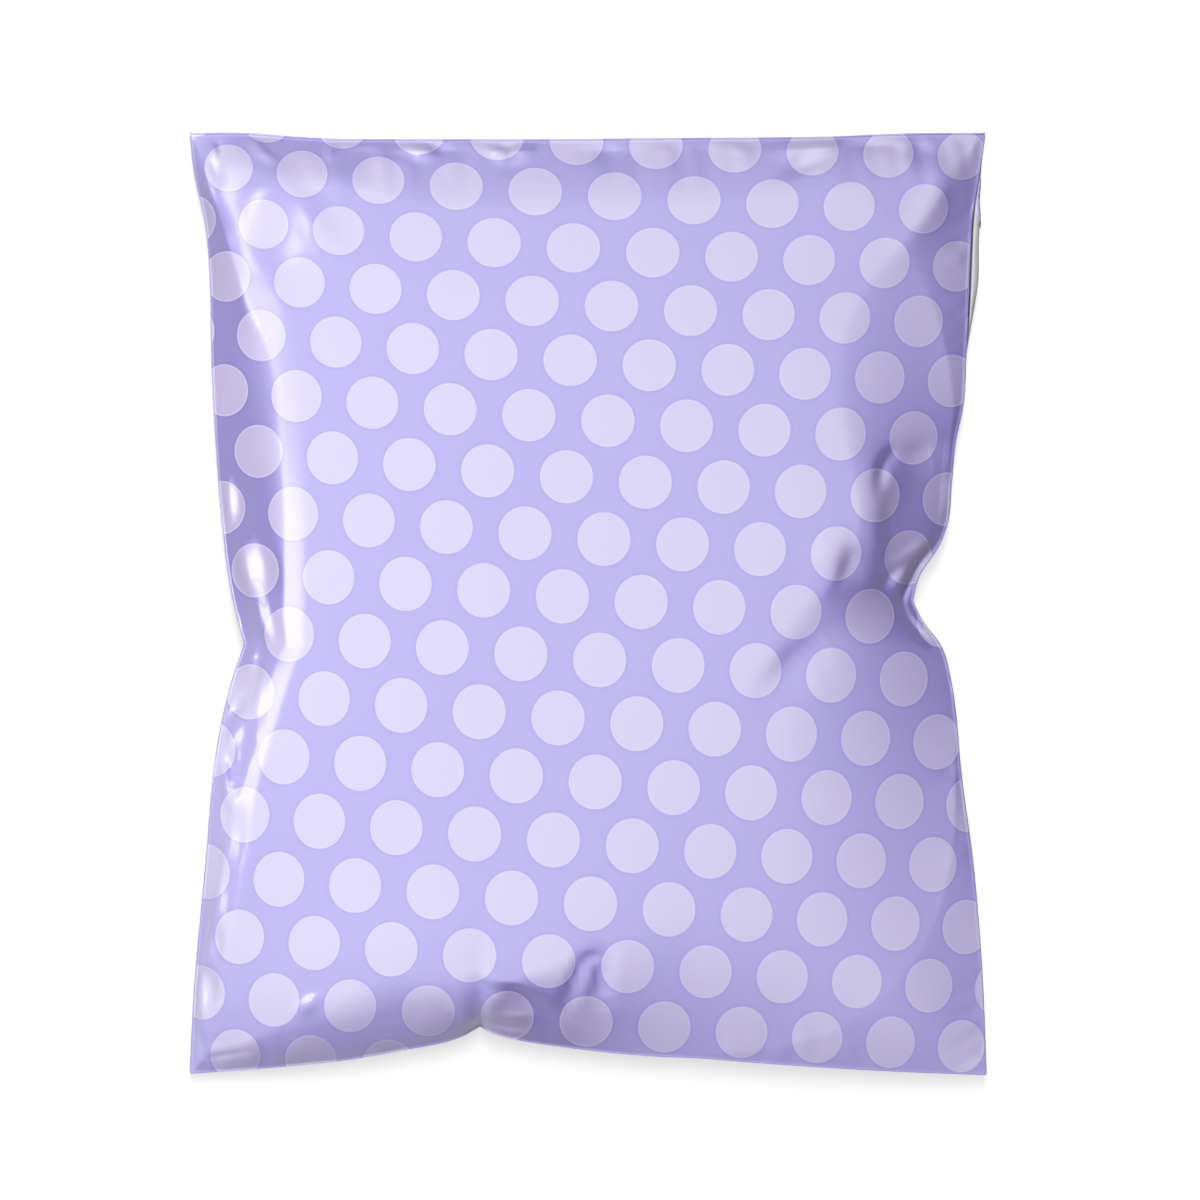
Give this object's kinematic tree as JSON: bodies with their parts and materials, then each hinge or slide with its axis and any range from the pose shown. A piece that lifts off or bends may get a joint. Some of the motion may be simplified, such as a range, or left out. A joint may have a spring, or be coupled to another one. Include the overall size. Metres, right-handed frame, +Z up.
{
  "type": "poly mailer bag",
  "caption": "Sealed and stuffed plastic mailing bag, dotted film on its front and plain film on its back, with welded sides, pinched edges and a lip folded over the top onto the back.",
  "frame": {"origin": "on the table that the bag lies on, under the middle of its bounding box", "axes": "+X across the bag to the right of its printed front, +Y up its length to the folded lip, +Z up from the table through the printed front"},
  "size_m": [0.25, 0.2956, 0.044],
  "materials": {
    "printed_film": "glossy printed polyethylene film"
  },
  "bodies": {
    "root": {"mailer_bag": "printed_film"}
  },
  "joints": []
}
